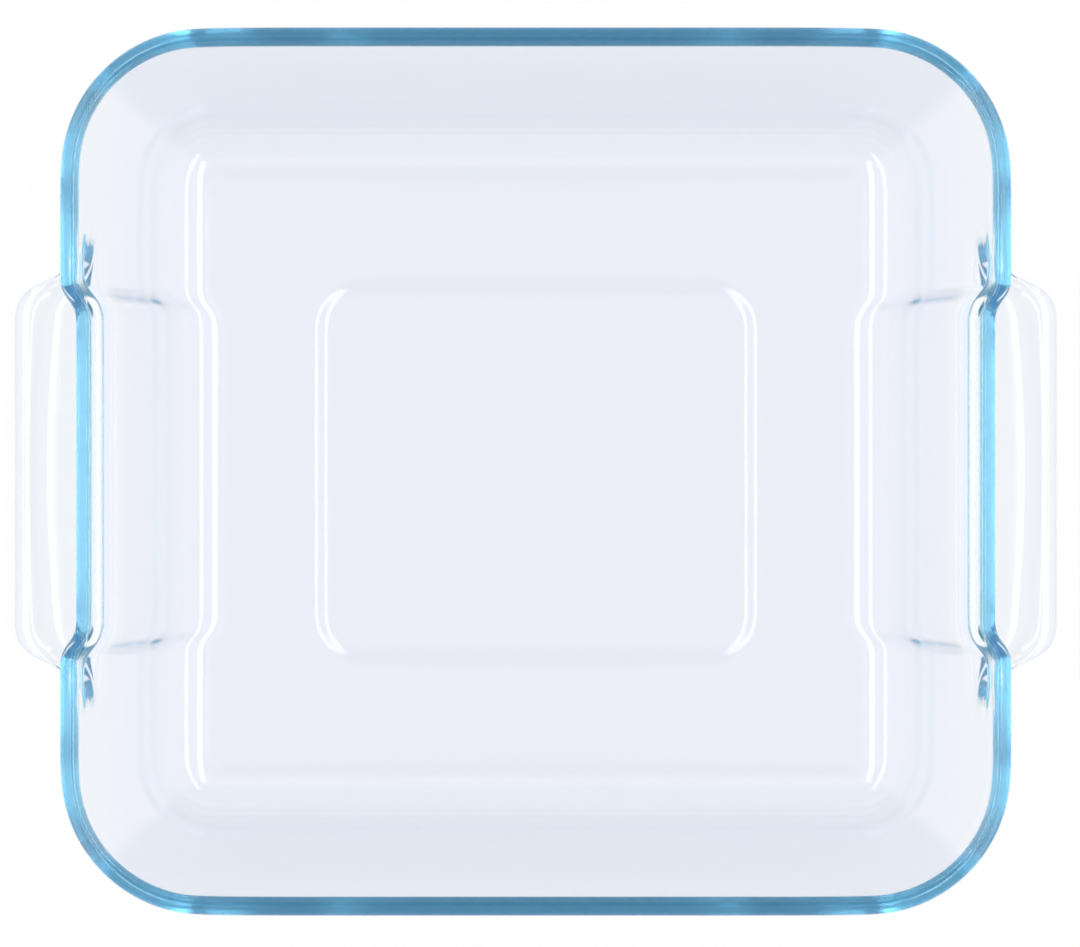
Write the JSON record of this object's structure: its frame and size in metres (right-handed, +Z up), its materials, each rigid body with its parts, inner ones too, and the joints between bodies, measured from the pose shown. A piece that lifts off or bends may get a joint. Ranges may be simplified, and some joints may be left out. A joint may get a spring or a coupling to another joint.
{
  "type": "glass baking dish",
  "caption": "Square clear glass oven dish with rounded corners, sloping walls, an aqua rolled rim and moulded side grips.",
  "frame": {"origin": "centre of the table plane under the dish, on its upright axis", "axes": "+Z up, +X towards the right grip, +Y towards the back, so that the grips lie on +X and -X"},
  "size_m": [0.2858, 0.2406, 0.058],
  "materials": {
    "bowl_glass": "clear pressed glass, smooth and glossy",
    "rim_glass": "clear pressed glass, aqua where it is seen along its length",
    "grip_glass": "clear pressed glass, smooth and glossy"
  },
  "bodies": {
    "root": {"bowl": "bowl_glass", "rim": "rim_glass", "left_handle": "grip_glass", "right_handle": "grip_glass"}
  },
  "joints": []
}
